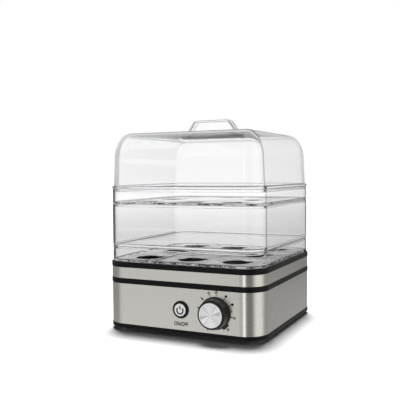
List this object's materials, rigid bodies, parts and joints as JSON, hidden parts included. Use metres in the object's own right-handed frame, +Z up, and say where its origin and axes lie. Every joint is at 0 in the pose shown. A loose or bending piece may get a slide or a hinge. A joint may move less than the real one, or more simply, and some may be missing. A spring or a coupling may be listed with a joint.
{
  "type": "egg cooker",
  "caption": "Two-level electric egg cooker with a steel-clad base, rotary hardness regulator, push switch, clear egg trays, tier wall and lid.",
  "frame": {"origin": "middle of the footprint on the table, under the centre of the square casing", "axes": "+Z up, -Y toward the control panel (front), +X to the right as seen from the front"},
  "size_m": [0.1808, 0.1959, 0.2288],
  "materials": {
    "black_plastic": "fine satin moulded black",
    "steel": "horizontally brushed stainless steel",
    "rubber": "soft matte black",
    "silicone": "soft grey silicone",
    "zinc_steel": "zinc-plated",
    "coated_aluminium": "dark non-stick coating",
    "heater_sheath": "dull sheath",
    "brass": "bare",
    "steatite": "unglazed",
    "board_laminate": "solder mask",
    "component_plastic": "moulded",
    "led_lens": "diffuse lens",
    "lead_insulation": "silicone-glass insulation",
    "button_silver": "silver satin",
    "turned_aluminium": "radially turned, bright",
    "clear_plastic": "clear glossy"
  },
  "bodies": {
    "base": {"base_plate": "black_plastic", "foot_pads": "rubber", "base_screws": "zinc_steel", "lower_shell": "steel", "middle_frame": "black_plastic", "upper_band": "steel", "top_rim": "black_plastic", "water_pan": "coated_aluminium", "pan_gasket": "silicone", "pan_screws": "zinc_steel", "heating_element": "heater_sheath", "heater_terminals": "brass", "thermostat": "steatite", "thermostat_clamp": "zinc_steel", "thermal_fuse": "steatite", "control_board": "board_laminate", "relay": "component_plastic", "capacitor": "component_plastic", "buzzer": "component_plastic", "power_led": "led_lens", "terminal_block": "component_plastic", "cord_gland": "black_plastic", "mains_leads": "lead_insulation", "heater_leads": "lead_insulation", "switch_body": "component_plastic", "button_spring": "zinc_steel", "button_bezel": "black_plastic", "regulator_body": "component_plastic", "regulator_nut": "zinc_steel"},
    "button": {"button_cap": "button_silver", "switch_plunger": "button_silver"},
    "knob": {"knob_body": "black_plastic", "knob_cap": "turned_aluminium", "regulator_shaft": "zinc_steel"},
    "lower_tray": {"lower_egg_tray": "clear_plastic"},
    "tier": {"tier_wall": "clear_plastic"},
    "upper_tray": {"upper_egg_tray": "clear_plastic"},
    "lid": {"lid": "clear_plastic"}
  },
  "joints": [
    {"name": "button_press", "type": "slide", "parent": "base", "child": "button", "axis": [0, 1, 0], "range_m": [0, 0.0015], "stiffness_N_per_m": 1200, "springref_m": -0.0006, "deforming": ["button_spring"]},
    {"name": "knob_turn", "type": "hinge", "parent": "base", "child": "knob", "pos_m": [0.0425, -0.09, 0.0292], "axis": [0, -1, 0], "range_deg": [0, 295]},
    {"name": "lower_tray_lift", "type": "slide", "parent": "base", "child": "lower_tray", "axis": [0, 0, 1], "range_m": [0, 0.06]},
    {"name": "tier_lift", "type": "slide", "parent": "lower_tray", "child": "tier", "axis": [0, 0, 1], "range_m": [0, 0.07]},
    {"name": "upper_tray_lift", "type": "slide", "parent": "tier", "child": "upper_tray", "axis": [0, 0, 1], "range_m": [0, 0.05]},
    {"name": "lid_lift", "type": "slide", "parent": "upper_tray", "child": "lid", "axis": [0, 0, 1], "range_m": [0, 0.08]}
  ]
}
